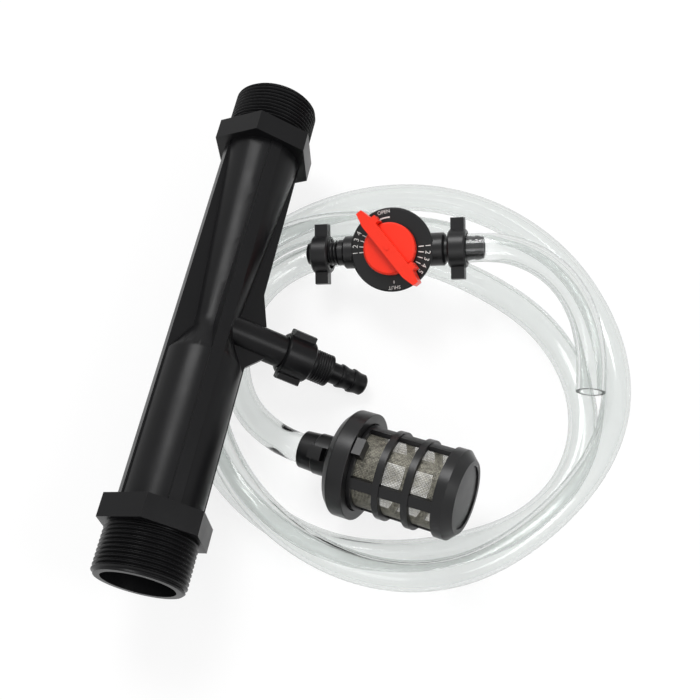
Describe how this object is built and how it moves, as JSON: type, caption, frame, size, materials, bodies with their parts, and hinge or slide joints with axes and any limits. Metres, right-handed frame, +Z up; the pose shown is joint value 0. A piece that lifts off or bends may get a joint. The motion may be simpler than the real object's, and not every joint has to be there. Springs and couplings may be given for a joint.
{
  "type": "venturi fertilizer injector",
  "caption": "Black moulded venturi tube with male pipe threads and a suction barb, laid out with its dial flow valve, coil of clear suction hose and foot strainer.",
  "frame": {"origin": "on the venturi's axis at the outer face of the inlet hexagon, where the inlet thread starts", "axes": "+Y along the venturi's axis from the inlet to the outlet, +Z up from the floor that the set lies on, +X to the side of the suction fitting, the valve and the coil"},
  "size_m": [0.252, 0.29, 0.0814],
  "materials": {
    "black_plastic": "semi-gloss, moulded",
    "orange_plastic": "semi-gloss, moulded",
    "clear_hose": "clear soft PVC",
    "rubber": "matt",
    "wire_mesh": "fine woven wire"
  },
  "bodies": {
    "injector": {"venturi_body": "black_plastic", "suction_gasket": "rubber", "suction_nut": "black_plastic", "suction_barb": "black_plastic", "valve_body": "black_plastic", "valve_nut_left": "black_plastic", "valve_nut_right": "black_plastic", "strainer_cap": "black_plastic", "strainer_nut": "black_plastic", "strainer_gasket": "rubber", "strainer_cage": "black_plastic", "strainer_mesh": "wire_mesh", "hose_coil": "clear_hose", "hose_tail": "clear_hose", "valve_hose": "clear_hose"},
    "knob": {"valve_knob": "orange_plastic", "valve_plug": "black_plastic", "plug_seals": "rubber"}
  },
  "joints": [
    {"name": "knob_turn", "type": "hinge", "parent": "injector", "child": "knob", "pos_m": [0.085, 0.19, -0.01435], "axis": [-0.1277, -0.4699, 0.8734], "range_deg": [-38, 52]}
  ]
}
